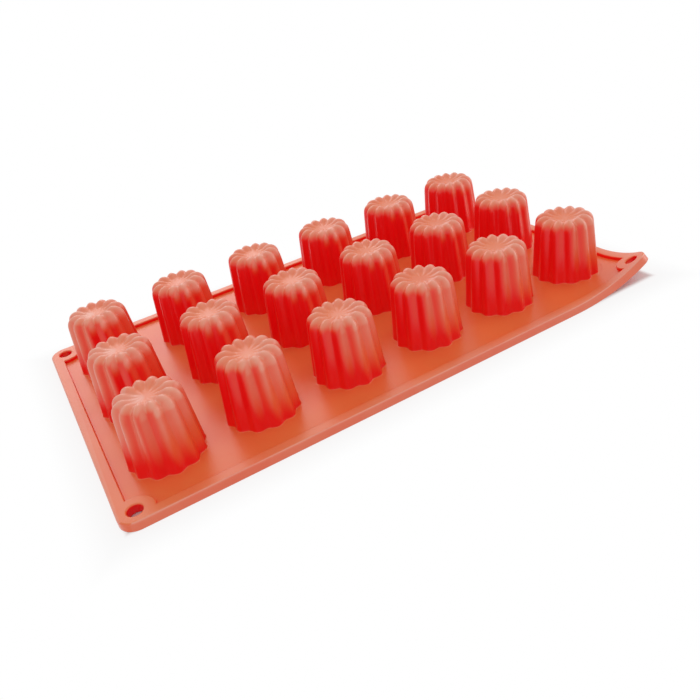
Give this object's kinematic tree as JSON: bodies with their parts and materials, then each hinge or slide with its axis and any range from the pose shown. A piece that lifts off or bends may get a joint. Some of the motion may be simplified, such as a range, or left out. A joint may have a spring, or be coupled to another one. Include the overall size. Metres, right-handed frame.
{
  "type": "silicone canele mould",
  "caption": "Flexible baking sheet with rows of fluted, tapered cups that end in a dimpled petal top, inside a raised border with a drilled pad at each corner; one corner curls up.",
  "frame": {"origin": "on the flat baking face, under the middle of the sheet", "axes": "+X along the rows of six cups to the right, +Y from the front row to the back row, +Z towards the closed ends of the cups"},
  "size_m": [0.3, 0.182, 0.0367],
  "materials": {
    "silicone": "satin moulded silicone"
  },
  "bodies": {
    "root": {"web_sheet": "silicone", "rail_front": "silicone", "rail_back": "silicone", "rail_left": "silicone", "rail_right": "silicone", "corner_pad_front_left": "silicone", "corner_pad_front_right": "silicone", "corner_pad_back_left": "silicone", "corner_pad_back_right": "silicone", "cup_front_1": "silicone", "cup_front_2": "silicone", "cup_front_3": "silicone", "cup_front_4": "silicone", "cup_front_5": "silicone", "cup_front_6": "silicone", "cup_mid_1": "silicone", "cup_mid_2": "silicone", "cup_mid_3": "silicone", "cup_mid_4": "silicone", "cup_mid_5": "silicone", "cup_mid_6": "silicone", "cup_back_1": "silicone", "cup_back_2": "silicone", "cup_back_3": "silicone", "cup_back_4": "silicone", "cup_back_5": "silicone", "cup_back_6": "silicone"}
  },
  "joints": []
}
